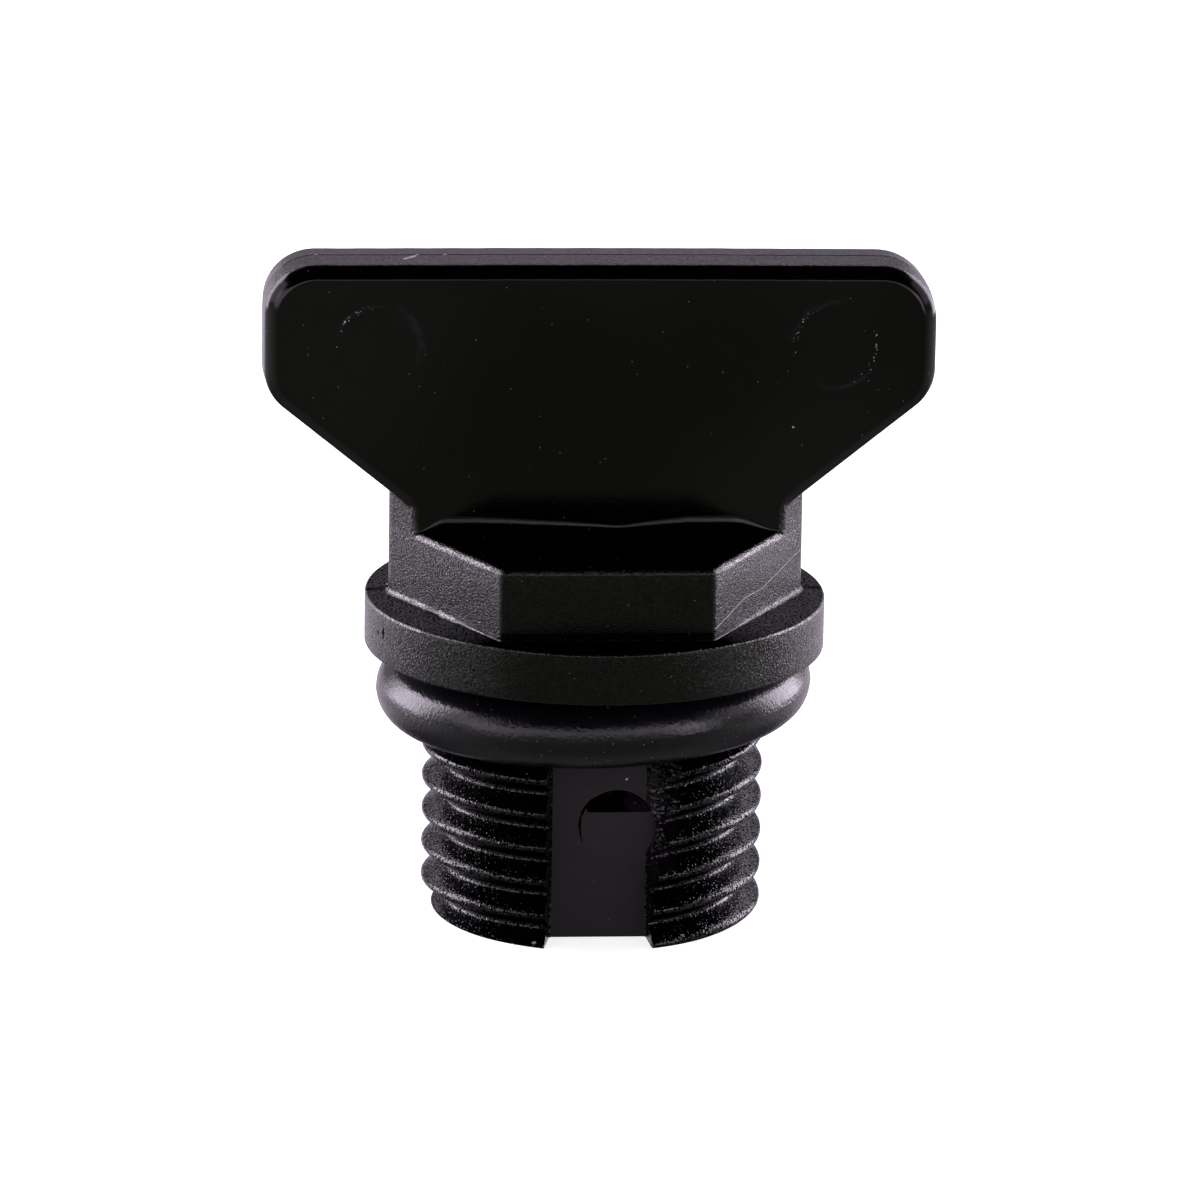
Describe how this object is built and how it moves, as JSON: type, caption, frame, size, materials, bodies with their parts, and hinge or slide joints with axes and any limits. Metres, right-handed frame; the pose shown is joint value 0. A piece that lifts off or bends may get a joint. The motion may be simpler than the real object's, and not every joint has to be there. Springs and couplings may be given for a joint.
{
  "type": "pump drain plug",
  "caption": "Moulded drain plug with a wing grip, hex head, sealing collar, short threaded shank with a drain slot, and a loose rubber sealing ring.",
  "frame": {"origin": "centre of the flat threaded end, at the base of the part's box", "axes": "+Z from the threaded end towards the wing plate, X along the wing plate's width, -Y towards the drain slot"},
  "size_m": [0.0256, 0.0176, 0.0258],
  "materials": {
    "moulding": "black, fine eroded grain on the flanks of the hex, collar and wing edges, smoother wing faces",
    "ring_rubber": "satin black"
  },
  "bodies": {
    "root": {"plug_body": "moulding", "o_ring": "ring_rubber"}
  },
  "joints": []
}
